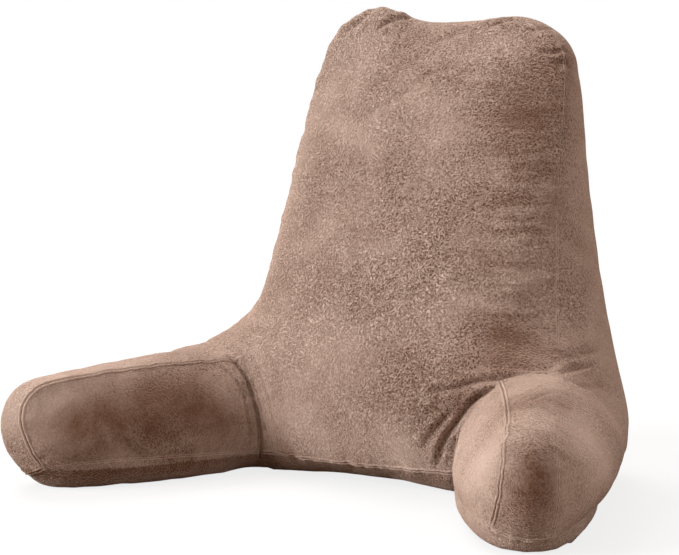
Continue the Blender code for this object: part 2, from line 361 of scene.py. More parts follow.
# %% Subdivide the cover
ON_FLOOR = 0.001       # a vertex lower than this lies on the floor


def mesh_object(name, data):
    """A new object in the scene with the given mesh."""
    obj = bpy.data.objects.new(name, data)
    bpy.context.scene.collection.objects.link(obj)
    return obj


def evaluated_copy(obj):
    """The mesh of an object with its modifiers, as new data."""
    return bpy.data.meshes.new_from_object(obj.evaluated_get(bpy.context.evaluated_depsgraph_get()))


def subdivided(obj, levels):
    """The object's mesh after Catmull-Clark subdivision, its seams kept as edges."""
    modifier = obj.modifiers.new("subdivision", "SUBSURF")
    modifier.levels = levels
    modifier.render_levels = levels
    data = evaluated_copy(obj)
    obj.modifiers.remove(modifier)
    return data


cover = mesh_object("pillow_cover", as_mesh(skin, "cover"))
cover.data = subdivided(cover, 1)
ends = edge_ends(cover.data)
on_seam = np.zeros(len(cover.data.vertices), dtype=bool)
on_seam[ends[edge_seams(cover.data) > 0].ravel()] = True
rest = positions(cover.data)
on_floor = rest[:, 2] < ON_FLOOR
tell("cover of", len(rest), "vertices,", int(on_seam.sum()), "on seams,", int(on_floor.sum()), "on the floor")

# %% [markdown]
# ## Stuffing
# The solids are smooth, but a stuffed cover swells between its seams and puckers beside them. That
# could be sculpted by hand. Here the cover is simulated as cloth: cut a little too large, held at
# its seams and on the floor, and blown up from inside. Only what the cloth does over short
# distances is kept, so that the pillow keeps the frame's size.

# %% Stuff the cover
CLOTH_FRAMES = 20
PRESSURE = 4.0
OVERSIZE = 0.02        # the cloth is cut this share larger than the form it covers
MOVE_CAP = 0.024       # no point moves further than this
SWELL_ROUNDS = 60      # the reach of the even swelling that is taken out again
PUCKER_ROUNDS = 2      # and what is left is softened this often
KEPT_SHARE = 0.55      # how much of the short-range swelling stays
PIN_GROUP = "seams"
TINY = 1e-9            # keeps a division by a length away from zero


def smoothed(values, ends, rounds):
    """Values averaged with their neighbours along the edges, again and again."""
    count = np.bincount(ends.ravel(), minlength=len(values)).astype(float)
    shape = (-1,) + (1,) * (values.ndim - 1)
    for _ in range(rounds):
        total = np.zeros_like(values)
        np.add.at(total, ends[:, 0], values[ends[:, 1]])
        np.add.at(total, ends[:, 1], values[ends[:, 0]])
        values = 0.5 * values + 0.5 * total / count.reshape(shape)
    return values


pins = cover.vertex_groups.new(name=PIN_GROUP)
pins.add(np.flatnonzero(on_seam | on_floor).tolist(), 1.0, "REPLACE")
cloth = cover.modifiers.new("stuffing", "CLOTH")
settings = cloth.settings
settings.quality = 5
settings.mass = 0.3
settings.tension_stiffness = 15.0
settings.compression_stiffness = 15.0
settings.shear_stiffness = 5.0
settings.bending_stiffness = 0.5
settings.vertex_group_mass = PIN_GROUP
settings.shrink_min = -OVERSIZE
settings.shrink_max = -OVERSIZE
settings.use_pressure = True
settings.uniform_pressure_force = PRESSURE
settings.effector_weights.gravity = 0.0
for number in range(1, CLOTH_FRAMES + 1):
    bpy.context.scene.frame_set(number)
stuffed = evaluated_copy(cover)
cover.modifiers.remove(cloth)
bpy.context.scene.frame_set(1)
move = positions(stuffed) - rest
reach = np.linalg.norm(move, axis=1)
print("cloth moved", in_mm(reach.max()), "mm at most,", in_mm(reach.mean()), "mm on average")
move *= np.minimum(1.0, MOVE_CAP / np.maximum(reach, TINY))[:, None]
pucker = smoothed(move - smoothed(move, ends, SWELL_ROUNDS), ends, PUCKER_ROUNDS)
pucker[on_floor, 2] = 0.0
set_positions(cover.data, rest + KEPT_SHARE * pucker)
tell("cover stuffed")

# %% [markdown]
# ## Putting the seams' edges in order
# The cover is subdivided a second time, and its seams are many short edges in no order. This table
# says which traced seams are sewn as one: on the real pillow the thread runs round the front edge
# in one go, up the side and over the top. Walking from edge to edge gives ordered runs of vertices.
# Selecting an edge loop does the same in edit mode, but it stops at any vertex that has not
# exactly four edges.

# %% Put the seams' edges in order
SEWN_LINES = (
    # name, the traced seams that it runs through, whether it shows in the photograph
    ("front_edge", ("front_side", "front_top"), True),
    ("rear_edge", ("rear_side", "rear_top"), False),
    ("front_foot", ("front_low",), True),
    ("rear_foot", ("rear_low", "side_low"), False),
    ("arm_panel", ("arm_top_inner", "arm_tip_inner"), True),
    ("arm_panel_foot", ("arm_low_inner",), True),
    ("arm_outer", ("arm_top_outer", "arm_tip_outer"), True),
    ("arm_tip_foot", ("arm_tip_low",), True),
    ("arm_outer_foot", ("arm_low_outer",), False),
    ("arm_root", ("root_inner",), True),
    ("arm_root_top", ("root_top",), True),
)
SHORTEST_RUN = 5       # a run of fewer vertices is left unsewn


def seam_runs(data, names):
    """Ordered runs of vertices along the edges that carry one of the named seams."""
    wanted = [SEAM_NUMBERS[name] for name in names]
    links = {}
    for one, two in edge_ends(data)[np.isin(edge_seams(data), wanted)].tolist():
        links.setdefault(one, []).append(two)
        links.setdefault(two, []).append(one)
    left = set(links)
    runs = []
    while left:
        tips = [vert for vert in sorted(left) if sum(other in left for other in links[vert]) == 1]
        run = [tips[0] if tips else min(left)]
        left.discard(run[0])
        while True:
            onward = [vert for vert in links[run[-1]] if vert in left]
            if not onward:
                break
            run.append(onward[0])
            left.discard(onward[0])
        if len(run) >= SHORTEST_RUN:
            runs.append(run)
    return runs


cover.data = subdivided(cover, 1)
runs = [(name, shows, run) for name, seams, shows in SEWN_LINES for run in seam_runs(cover.data, seams)]
tell(len(runs), "runs, the longest through", max(len(run) for _, _, run in runs), "vertices")

# %% [markdown]
# ## From edges to lines
# Later steps need each seam as a smooth line: the thread on the real pillow runs straight on where
# the mesh's grid zigzags. A Catmull-Rom curve is laid through the vertices of each run, and its
# points are averaged with their neighbours. The edges themselves would do for a crease, but the
# raised seams that are sewn along these lines would show every corner of them.

# %% Lay lines along the seams
SEAM_STEP = 0.002      # the distance between two points of a line
LINE_ROUNDS = 60       # how often a line is averaged
CURVE_STEPS = 12       # points of the curve between two vertices
FEWEST_POINTS = 3      # however short the line is


def resampled(points, step):
    """Evenly spaced points on a Catmull-Rom curve through the given points."""
    points = [np.array(point) for point in points]
    padded = [2 * points[0] - points[1]] + points + [2 * points[-1] - points[-2]]
    fine = []
    for a, b, c, d in zip(padded[:-3], padded[1:-2], padded[2:-1], padded[3:]):
        for t in np.linspace(0.0, 1.0, CURVE_STEPS, endpoint=False):
            fine.append(0.5 * (2 * b + (c - a) * t + (2 * a - 5 * b + 4 * c - d) * t ** 2
                               + (3 * b - a - 3 * c + d) * t ** 3))
    fine = np.array(fine + [points[-1]])
    along = np.concatenate(([0.0], np.cumsum(np.linalg.norm(np.diff(fine, axis=0), axis=1))))
    at = np.linspace(0.0, along[-1], max(FEWEST_POINTS, int(along[-1] / step)))
    return np.stack([np.interp(at, along, fine[:, axis]) for axis in range(3)], axis=1)


def along_run(values, rounds):
    """Values along a line, averaged with their neighbours; both ends stay."""
    for _ in range(rounds):
        inner = 0.25 * values[:-2] + 0.5 * values[1:-1] + 0.25 * values[2:]
        values = np.concatenate((values[:1], inner, values[-1:]))
    return values


co = positions(cover.data)
seam_lines = []
for name, shows, run in runs:
    line = along_run(resampled(co[run], SEAM_STEP), LINE_ROUNDS)
    seam_lines.append({"name": name, "line": line, "shows": shows})
all_seams = np.concatenate([entry["line"] for entry in seam_lines])
tell(len(seam_lines), "seam lines,", round(len(all_seams) * SEAM_STEP, 1), "m of seam")

# %% [markdown]
# ## Rounding the edges
# Sewn edges of a stuffed piece are round, not sharp. A bevel would round them too, but it would cut
# new faces along every seam. Averaging each vertex near a seam with its neighbours keeps the grid
# as it is, and a soft mask lets the rounding fade out a centimetre away.

# %% Round the edges
EDGE_REACH = 0.010     # how far beside a seam the edge is rounded
EDGE_ROUNDS = 5
FLOOR_SLACK = 0.0004


def away_from(points, co):
    """The distance from each vertex to the nearest of some points, and that point's number."""
    tree = tree_of(points)
    found = [tree.find(place) for place in co]
    return np.array([hit[2] for hit in found]), np.array([hit[1] for hit in found])


away, _ = away_from(all_seams, co)
ease = np.exp(-(away / EDGE_REACH) ** 2)[:, None]
ease[co[:, 2] < FLOOR_SLACK] = 0.0
co += ease * (smoothed(co, edge_ends(cover.data), EDGE_ROUNDS) - co)
set_positions(cover.data, co)
tell("edges rounded on", len(cover.data.polygons), "faces")

# %% [markdown]
# ## Unlike ears
# No two corners of a real pillow are stuffed alike: here the left ear stands higher than the right.
# A nudge moves a soft round patch of the cover a few pixels across the photograph, and the seam
# lines move with it. A lattice could do that too, but a short list of nudges is easier to correct
# against the photograph, because it is written in the photograph's own pixels.

# %% Nudge the cover
NUDGE_COLUMNS = ("at", "reach", "move")
NUDGES = (
    ((378, 24), 0.038, (0.0, -9.0)),
    ((345, 36), 0.028, (-4.0, -1.0)),
    ((505, 16), 0.035, (0.0, 3.0)),
    ((530, 14), 0.045, (-1.0, 12.0)),
    ((556, 24), 0.035, (-1.0, 5.0)),
    ((328, 84), 0.016, (3.0, 0.0)),
    ((272, 290), 0.050, (-4.0, 0.0)),
    ((505, 458), 0.048, (-5.5, 0.0)),
    ((24, 460), 0.030, (-4.0, 0.0)),
)
PILLOW_MIDDLE = Vector((0.0, 0.0, 0.3))


def rows(columns, table):
    """The rows of a table as dictionaries."""
    return [dict(zip(columns, row)) for row in table]


def surface_of(obj):
    """A search tree of an object's faces, for casting rays."""
    return BVHTree.FromObject(obj, bpy.context.evaluated_depsgraph_get())


def cast(surface, px, py):
    """The first point of the surface seen through a pixel of the photograph."""
    return surface.ray_cast(EYE, sight(px, py))[0]


def pushed(co, place, reach, push):
    """The points moved by a push that fades with their distance from a place."""
    away = np.linalg.norm(co - place, axis=1)
    return co + np.exp(-(away / reach) ** 2)[:, None] * push


co = positions(cover.data)
pixel = (PILLOW_MIDDLE - EYE).length / FOCAL_PIXELS
surface = surface_of(cover)
for nudge in rows(NUDGE_COLUMNS, NUDGES):
    place = np.array(cast(surface, *nudge["at"]))
    push = np.array(LOOK_RIGHT * nudge["move"][0] - LOOK_UP * nudge["move"][1]) * pixel
    co = pushed(co, place, nudge["reach"], push)
    for entry in seam_lines:
        entry["line"] = pushed(entry["line"], place, nudge["reach"], push)
set_positions(cover.data, co)
tell(len(NUDGES), "nudges, where a pixel is", in_mm(pixel), "mm")

# %% [markdown]
# ## Where the folds go
# The cover creases where an arm pulls at the backrest and where the ears are pinched. Each fold is
# a short path read off the photograph as pixels and cast through the camera onto the cover, with a
# depth and a half width in metres. Sculpting them by hand would look as good, but it couldn't be
# repeated when the shape below changes.

# %% Read the folds
FOLD_COLUMNS = ("depth", "half_width", "path")
FOLDS = (
    # beside the left arm's root
    (0.0050, 0.0040, ((229, 358), (241, 370), (250, 390), (257, 415), (261, 449))),
    (0.0030, 0.0032, ((240, 350), (250, 375), (260, 402), (266, 430))),
    (0.0016, 0.0036, ((243, 338), (256, 366), (268, 396), (273, 422))),
    (0.0022, 0.0045, ((216, 366), (232, 376), (243, 394), (249, 420), (251, 442))),
    (0.0012, 0.0022, ((228, 358), (234, 357), (238, 352), (238, 346))),
    (0.0012, 0.0055, ((262, 342), (276, 372), (283, 402))),
    # where the right arm leaves the front panel
    (0.0075, 0.0038, ((494, 388), (480, 397), (465, 411), (454, 425), (444, 440), (436, 462))),
    (0.0045, 0.0050, ((476, 395), (459, 406), (444, 420), (430, 436), (422, 450))),
    (0.0060, 0.0038, ((560, 371), (540, 374), (504, 378), (480, 381), (455, 388), (432, 391))),
    (0.0022, 0.0060, ((470, 388), (448, 401), (428, 415), (412, 430))),
    (0.0022, 0.0030, ((436, 467), (441, 457), (447, 447))),
    (0.0018, 0.0060, ((560, 364), (540, 370), (520, 369), (500, 371))),
    # on the side of the backrest above the right arm
    (0.0036, 0.0045, ((561, 374), (576, 368), (592, 365))),
    (0.0022, 0.0050, ((566, 380), (585, 387), (602, 385))),
    (0.0018, 0.0060, ((568, 358), (588, 352), (606, 356))),
    # fine ripples on top of the right arm
    (0.0010, 0.0028, ((514, 398), (524, 394), (536, 389), (548, 384))),
    (0.0010, 0.0028, ((518, 404), (529, 401), (541, 396), (556, 392))),
    (0.0009, 0.0026, ((508, 407), (517, 403), (526, 398))),
    # round the ears
    (0.0070, 0.0038, ((378, 28), (388, 22), (398, 19), (410, 18))),
    (0.0030, 0.0045, ((390, 14), (402, 16), (414, 22))),
    (0.0030, 0.0050, ((348, 30), (358, 22), (366, 16))),
    (0.0022, 0.0060, ((430, 44), (455, 34), (484, 26))),
    (0.0060, 0.0036, ((488, 26), (500, 22), (512, 20), (524, 21))),
    (0.0026, 0.0045, ((520, 28), (536, 30), (552, 29))),
    (0.0050, 0.0042, ((538, 50), (552, 52), (568, 52))),
    (0.0020, 0.0050, ((556, 70), (563, 62), (570, 66))),
    (0.0016, 0.0070, ((400, 95), (425, 78), (450, 66))),
    (0.0014, 0.0070, ((385, 60), (405, 47), (420, 41))),
    (0.0014, 0.0080, ((360, 120), (395, 98), (420, 88))),
    (0.0012, 0.0090, ((500, 60), (520, 80), (530, 110))),
)

surface = surface_of(cover)
folds = rows(FOLD_COLUMNS, FOLDS)
for fold in folds:
    hits = [cast(surface, px, py) for px, py in fold["path"]]
    fold["line"] = resampled([hit for hit in hits if hit], SEAM_STEP)
longest = max(len(fold["line"]) for fold in folds) * SEAM_STEP
tell(len(folds), "folds, the longest", in_mm(longest), "mm")

# %% [markdown]
# ## Refining where it shows
# A fold a few millimetres wide needs faces smaller than that. Subdividing the whole cover again
# would cost four times as many, so only the faces beside seams that show and beside folds are split
# in four, and `use_grid_fill` keeps them square. Under the pillow the cover lies flat on the floor
# and needs no grid, so that is dissolved. Edges are always passed in the mesh's own order, never as
# a Python set of them, whose order may change from run to run and the mesh with it.

# %% Refine and dissolve
SEAM_FINE = 0.009      # the mesh is refined this close to a seam
FOLD_FINE = 0.013      # and this close to a fold
FLAT_BEND = math.radians(1.0)


def triangle_count(data):
    """How many triangles a mesh has, with its larger faces cut up."""
    return sum(len(face.vertices) - 2 for face in data.polygons)


def split_near(form, points, reach):
    """Split in four every face whose centre is near one of the points."""
    form.edges.index_update()
    form.faces.ensure_lookup_table()
    centres = [face.calc_center_median() for face in form.faces]
    away, _ = away_from(points, centres)
    picked = {edge.index for number in np.flatnonzero(away < reach) for edge in form.faces[number].edges}
    near = [edge for edge in form.edges if edge.index in picked]
    bmesh.ops.subdivide_edges(form, edges=near, cuts=1, use_grid_fill=True)


form = bmesh.new()
form.from_mesh(cover.data)
under = [vert for vert in form.verts
         if all(edge.other_vert(vert).co.z < FLOOR_SLACK for edge in vert.link_edges)]
below = set(under)
under_edges = [edge for edge in form.edges if not below.isdisjoint(edge.verts)]
bmesh.ops.dissolve_limit(form, angle_limit=FLAT_BEND, verts=under, edges=under_edges)
print("underside dissolved:", len(form.faces), "faces")
split_near(form, np.concatenate([entry["line"] for entry in seam_lines if entry["shows"]]), SEAM_FINE)
split_near(form, np.concatenate([fold["line"] for fold in folds]), FOLD_FINE)
form.to_mesh(cover.data)
form.free()
co = positions(cover.data)
above_floor = (co[:, 2] > 2 * FLOOR_SLACK)[:, None]
set_positions(cover.data, np.where(above_floor, smoothed(co, edge_ends(cover.data), 1), co))
tell("refined to", triangle_count(cover.data), "triangles")

# %% [markdown]
# ## Laying the folds
# In cross-section a fold is a valley with a low shoulder on each side, where the cloth beside it
# bulges. Each vertex near a fold is pushed along its normal by that profile, and the fold runs out
# at both ends. A bump in the material would be cheaper, but it would show neither in the outline
# nor in the exported mesh.

# %% Lay the folds
FOLD_LIMIT = 5         # beyond this many half widths a fold does nothing
SHOULDER_HEIGHT = 0.38  # as a share of the valley's depth
SHOULDER_AT = 2.3      # in half widths
SHOULDER_WIDTH = 1.3
TAPER_POWER = 0.6      # below 1, the fold keeps its depth until near its ends
TAPER_END = 0.02       # and isn't quite flat at the very end


def lay_fold(co, normals, fold):
    """Push a valley with raised shoulders into the vertices near a fold's line."""
    width = fold["half_width"]
    low = fold["line"].min(axis=0) - FOLD_LIMIT * width
    high = fold["line"].max(axis=0) + FOLD_LIMIT * width
    some = np.flatnonzero(((co > low) & (co < high)).all(axis=1))
    away, number = away_from(fold["line"], co[some])
    share = number / (len(fold["line"]) - 1)
    taper = np.sin(np.pi * np.clip(share, TAPER_END, 1.0 - TAPER_END)) ** TAPER_POWER
    valley = np.exp(-(away / width) ** 2)
    shoulder = SHOULDER_HEIGHT * np.exp(-((away - SHOULDER_AT * width) / (SHOULDER_WIDTH * width)) ** 2)
    co[some] += normals[some] * (fold["depth"] * taper * (shoulder - valley))[:, None]


co = positions(cover.data)
normals = vertex_normals(cover.data)
unfolded = co.copy()
for fold in folds:
    lay_fold(co, normals, fold)
tell("folds move the cover by up to", in_mm(np.linalg.norm(co - unfolded, axis=1).max()), "mm")

# %% [markdown]
# ## Gathers
# Beside a seam the thread holds the cloth back, so it ripples: each ripple starts at the seam and
# ends a couple of centimetres away, and along the seam itself the cloth is drawn in. The ripples
# are random numbers along the seams, smoothed, with a fixed seed, so every run gives the same ones.
# Sewing springs in the cloth simulation would also gather it, but far more slowly.

# %% Gather the cloth beside the seams
GATHER_SPACING = 0.009
GATHER_HEIGHT = 0.0022
GATHER_REACH = 0.016
GATHER_ROUNDS = 6
HIDDEN_GATHER = 0.4    # how strong gathers are on a seam that doesn't show
SEAM_SINK = 0.0012
SINK_REACH = 0.004
FLAT_BELOW = 0.004     # lower than this the cover stays flat on the floor
FLAT_FADE = 0.01
SPARE_CRESTS = 4       # drawn beyond the end of the last seam
SEED = 31
rng = np.random.default_rng(SEED)

all_seams = np.concatenate([entry["line"] for entry in seam_lines])
seam_shows = np.concatenate([np.full(len(entry["line"]), entry["shows"]) for entry in seam_lines])
crests = rng.uniform(-1, 1, int(len(all_seams) * SEAM_STEP / (GATHER_SPACING / 2)) + SPARE_CRESTS)
crests_at = np.arange(len(crests)) * (GATHER_SPACING / 2)
ripple = along_run(np.interp(np.arange(len(all_seams)) * SEAM_STEP, crests_at, crests), GATHER_ROUNDS)
ripple *= HIDDEN_GATHER + (1.0 - HIDDEN_GATHER) * seam_shows
away, number = away_from(all_seams, co)
gather = GATHER_HEIGHT * ripple[number] * np.exp(-(away / GATHER_REACH) ** 2)
sink = -SEAM_SINK * np.exp(-(away / SINK_REACH) ** 2)
off_floor = np.clip((co[:, 2] - FLAT_BELOW) / FLAT_FADE, 0.0, 1.0)
co += normals * ((gather + sink) * off_floor)[:, None]
tell("gathers of up to", in_mm(np.abs(gather).max()), "mm")

# %% [markdown]
# ## The rolled lower edge
# Between the arms the real cover rolls forward over its lower seam and then under, so that the
# panel below the seam lies in shade. The frame's solid stands straight there. The vertices below
# the seam are pushed forward, more the lower they are, which is simpler than a new panel. Last, the
# mesh is thinned to the most triangles that one piece may have.

# %% Roll the lower edge
TOE_TOP = 0.030        # the roll starts below this height
TOE_SIDE = 0.175       # it ends this far to either side
TOE_MIDDLE = 0.045     # and stays away from the middle
TOE_SPREAD = 0.080
TOE_BACK = 0.030
TOE_FRONT = -0.085
TOE_FADE = 0.030
TOE_PUSH = 0.020
TOE_POWER = 0.7
MOST_TRIANGLES = 192000

up_share = np.clip(co[:, 2] / TOE_TOP, 0.0, 1.0)
toe = np.clip((TOE_SIDE - np.abs(co[:, 0])) / TOE_FADE, 0.0, 1.0)
toe *= np.clip((np.abs(co[:, 0]) - TOE_MIDDLE) / TOE_SPREAD, 0.0, 1.0)
toe *= np.clip((TOE_BACK - co[:, 1]) / TOE_FADE, 0.0, 1.0)
toe *= np.clip((co[:, 1] - TOE_FRONT) / TOE_FADE, 0.0, 1.0) * (up_share < 1.0)
co[:, 1] -= toe * TOE_PUSH * (1.0 - up_share)
co[:, 2] *= 1.0 - toe * (1.0 - up_share ** TOE_POWER)
co[:, 2] = np.maximum(co[:, 2], 0.0)
set_positions(cover.data, co)
thin = cover.modifiers.new("thin", "DECIMATE")
thin.ratio = min(1.0, MOST_TRIANGLES / triangle_count(cover.data))
cover.data = evaluated_copy(cover)
cover.modifiers.remove(thin)
cover.data.shade_smooth()
tell("cover folded, with", triangle_count(cover.data), "triangles")

# %% [markdown]
# ## The shape of a seam
# At a seam the two panels are turned in and sewn face to face, so their edges stand up as two soft
# lips with a sharp line between them. On the arm's panel and along the foot the seam is felled and
# the lips are higher. Bevelling the cover's own edges would give one round ridge without a line, so
# the shape is drawn as a cross-section: a closed row of (sideways, height) pairs in millimetres,
# whose borders dip under the cover.

# %% Draw the cross-sections
PLAIN_SEAM = ((-3.2, -1.2), (-2.3, 0.2), (-1.4, 0.8), (-0.55, 0.35), (0.0, -1.0), (0.55, 0.35), (1.4, 0.8),
              (2.3, 0.2), (3.2, -1.2), (1.6, -2.2), (-1.6, -2.2))
FELLED_SEAM = ((-5.4, -1.5), (-4.2, 0.4), (-3.1, 1.9), (-1.9, 2.1), (-0.9, 0.8), (0.0, -1.5), (0.9, 0.8),
               (1.9, 2.1), (3.1, 1.9), (4.2, 0.4), (5.4, -1.5), (2.5, -3.2), (-2.5, -3.2))

plain_half = max(across for across, _ in PLAIN_SEAM)
felled_half = max(across for across, _ in FELLED_SEAM)
tell("a plain seam is", 2 * plain_half, "mm wide, a felled one", 2 * felled_half, "mm")

# %% [markdown]
# ## A strip that follows the cover
# Each seam becomes a narrow closed strip of its own, because the cover's mesh is too coarse to hold
# lips a millimetre high. A curve with a bevel would be quicker, but it would float over the cover's
# dents. Here every point of a cross-section is set down on the nearest point of the cover and then
# lifted along the normal, and both ends of the strip dive under.

# %% Helpers for strips
MM = 0.001
STRIP_STEP = 0.0016    # the distance between two stations of a strip
STRIP_STRIDE = 3       # every third point of a line is enough to lay a strip by
LINE_SOFT = 3          # rounds of averaging for the line, its normals, its sides and its lips
UP_SOFT = 8
SIDE_SOFT = 4
LIP_SOFT = 3
NORMAL_REACH = 0.005   # normals are blended over this distance
LIP_SWELL = 0.4        # how unevenly the lips are filled
LIP_SPREAD = 0.08      # and how unevenly they are spread
STEADY = 0.7           # how far a strip keeps its own normal over dents in the cover
END_STATIONS = 5.0     # over this many stations the ends dive under the cover
END_DEPTH = 1.8        # this deep, in millimetres


def blended_normal(surface, point, reach):
    """The mean normal of the surface within reach of a point."""
    total = Vector()
    for _, normal, _, _ in surface.find_nearest_range(point, reach):
        total += normal
    return total.normalized() if total.length > 0 else surface.find_nearest(point)[1]


def close_rings(form, rings):
    """Faces between rings of vertices, and a cap at each end."""
    for ring, onward in zip(rings[:-1], rings[1:]):
        for slot in range(len(ring)):
            after = (slot + 1) % len(ring)
            form.faces.new((ring[slot], ring[after], onward[after], onward[slot]))
    form.faces.new(rings[0][::-1])
    form.faces.new(rings[-1])


def seam_strip(form, surface, line, profile):
    """Add one closed strip along a seam's line to a mesh; returns its stations."""
    line = along_run(resampled(line[::STRIP_STRIDE], STRIP_STEP), LINE_SOFT)
    count = len(line)
    line = np.array([surface.find_nearest(point)[0] for point in line])
    line = along_run(line, LINE_SOFT)
    ups = along_run(np.array([blended_normal(surface, point, NORMAL_REACH) for point in line]), UP_SOFT)
    sides = along_run(np.cross(np.gradient(line, axis=0), ups), SIDE_SOFT)
    sides /= np.linalg.norm(sides, axis=1)[:, None]
    swell = along_run(rng.uniform(-1.0, 1.0, (count, 2)), LIP_SOFT)
    from_end = np.minimum(np.arange(count), np.arange(count)[::-1])
    sunk = np.clip(1.0 - from_end / END_STATIONS, 0.0, 1.0) * END_DEPTH
    grid = np.empty((count, len(profile), 3))
    for number in range(count):
        for slot, (across, height) in enumerate(profile):
            lip = swell[number, 0 if across < 0 else 1]
            place = line[number] + sides[number] * across * MM * (1.0 + LIP_SPREAD * lip)
            hit, normal = surface.find_nearest(place)[:2]
            lift = height * (1.0 + LIP_SWELL * lip * (height > 0)) - sunk[number]
            up = np.array(normal) + ups[number] * STEADY
            up /= np.linalg.norm(up)
            grid[number, slot] = np.array(hit) + up * lift * MM
    grid = along_run(grid, 1)
    close_rings(form, [[form.verts.new(point) for point in ring] for ring in grid])
    return grid


surface = surface_of(cover)
start_normal = blended_normal(surface, seam_lines[0]["line"][0], NORMAL_REACH)
tell("the first seam starts facing", [round(c, 2) for c in start_normal])

# %% [markdown]
# ## Sewing
# The pillow has plain seams where two panels only meet, and felled ones where they are pulled
# about most. Each style is one piece, so that it can have its own painted shade along the groove
# and painted highlight on the lips later on.
# The strips could be joined to the cover's mesh, but then the cover would have to be cut open.

# %% Sew the seams
FELLED = ("arm_panel", "front_foot", "arm_tip_foot")

strips = {}
stations = []
for style, profile in (("plain", PLAIN_SEAM), ("felled", FELLED_SEAM)):
    form = bmesh.new()
    for entry in seam_lines:
        if (entry["name"] in FELLED) == (style == "felled"):
            grid = seam_strip(form, surface, entry["line"], profile)
            if style == "felled":
                stations.append(grid)
    bmesh.ops.recalc_face_normals(form, faces=form.faces)
    data = as_mesh(form, "seams_" + style)
    data.shade_smooth()
    strips[style] = mesh_object("seams_" + style, data)
    tell("seams", style, "have", triangle_count(data), "triangles")

# %% [markdown]
# ## Stitches
# The felled seams show their thread: short stitches of matching yarn, about three millimetres
# apart, lying in the line between the lips. A dashed line in the material would read the same from
# afar, but thread catches the light, so each stitch is a small six-sided capsule.

# %% Stitch the felled seams
STITCH_EVERY = 2       # stations from one stitch to the next
STITCH_FREE = 6        # stations without a stitch at each end
STITCH_LONG = 0.0022
STITCH_THICK = 0.00045
STITCH_LIFT = 0.6      # how far it lies above the groove, in thicknesses
STITCH_RINGS = ((-0.5, 0.35), (-0.4, 0.85), (0.0, 1.0), (0.4, 0.85), (0.5, 0.35))
STITCH_SIDES = 6


def add_stitch(form, at, way, up):
    """One capsule of thread at a place, lying along a way."""
    side = way.cross(up).normalized()
    turns = np.linspace(0.0, 2 * math.pi, STITCH_SIDES, endpoint=False)
    rings = []
    for along, share in STITCH_RINGS:
        centre = at + way * (along * STITCH_LONG)
        spokes = [side * math.cos(turn) + up * math.sin(turn) for turn in turns]
        rings.append([form.verts.new(centre + spoke * STITCH_THICK * share) for spoke in spokes])
    close_rings(form, rings)


form = bmesh.new()
groove_slot = [across for across, _ in FELLED_SEAM].index(0.0)
for grid in stations:
    for number in range(STITCH_FREE, len(grid) - STITCH_FREE - 1, STITCH_EVERY):
        groove = Vector(grid[number, groove_slot])
        way = Vector(grid[number + 1, groove_slot] - grid[number - 1, groove_slot]).normalized()
        lips = Vector(grid[number, groove_slot - 1] + grid[number, groove_slot + 1]) / 2
        up = (lips - groove).normalized()
        add_stitch(form, groove + up * STITCH_THICK * STITCH_LIFT, way, up)
bmesh.ops.recalc_face_normals(form, faces=form.faces)
data = as_mesh(form, "seam_stitches")
data.shade_smooth()
stitches = mesh_object("seam_stitches", data)
tell("stitches have", triangle_count(data), "triangles")

# %% [markdown]
# ## Velvet: an empty group for the pile
# Velvet is a short upright pile. A hand that brushes it leaves patches, fine worm-like flecks and
# wiped streaks, where the pile leans and turns paler or darker. Real hairs could be grown as
# particles, but millions of them can't be exported. Nodes paint their effect instead. Cover and
# seams share them, so they are one group, built once with named sockets: amounts and two colours go
# in, and colour, roughness and height come out.

# %% An empty group for the pile
PILE_SOCKETS = (
    # name, which way, kind, default
    ("Flecks", "INPUT", "NodeSocketFloat", 0.3),
    ("Patches", "INPUT", "NodeSocketFloat", 0.35),
    ("Brushed and shading", "INPUT", "NodeSocketFloat", 0.0),
    ("Streaks", "INPUT", "NodeSocketFloat", 0.0),
    ("Deep", "INPUT", "NodeSocketColor", None),
    ("Pale", "INPUT", "NodeSocketColor", None),
    ("Color", "OUTPUT", "NodeSocketColor", None),
    ("Roughness", "OUTPUT", "NodeSocketFloat", None),
    ("Height", "OUTPUT", "NodeSocketFloat", None),
)
PILE = bpy.data.node_groups.new("velvet_pile", "ShaderNodeTree")
for name, way, kind, default in PILE_SOCKETS:
    socket = PILE.interface.new_socket(name, in_out=way, socket_type=kind)
    if default is not None:
        socket.default_value = default
tell("pile group with", len(PILE.interface.items_tree), "sockets")

# %% [markdown]
# ## Velvet: what the group does
# Four noises paint the pile: worms for the flecks, zones that make the flecks stronger here and
# weaker there, fibres, and patches; a fifth, squeezed flat, gives the streaks. An image of velvet
# could do it too, but it would need an unwrapped mesh and would repeat itself. Each noise but the
# zones is spread out evenly around zero, so that adding it makes as much paler as it makes darker.

# %% Fill the pile's group
MIX_FACTOR = 0         # a Mix node keeps sockets for each kind of data: these are its colour ones
MIX_A = 6
MIX_B = 7
MIX_RESULT = 2
STREAK_SCALE = (11.0, 11.0, 75.0)
FIBRE_TONE = 0.10      # how much the single fibres change the tone
MIDDLE_TONE = 0.5
FLECK_HEIGHT = 1.7
FIBRE_HEIGHT = 0.35
PLAIN_ROUGHNESS = 0.85
PATCH_ROUGHNESS = 0.10


def node(tree, kind, **values):
    """A new node with the given properties and, by socket name, input values."""
    made = tree.nodes.new(kind)
    for name, value in values.items():
        if hasattr(made, name):
            setattr(made, name, value)
        else:
            made.inputs[name.replace("_", " ")].default_value = value
    return made


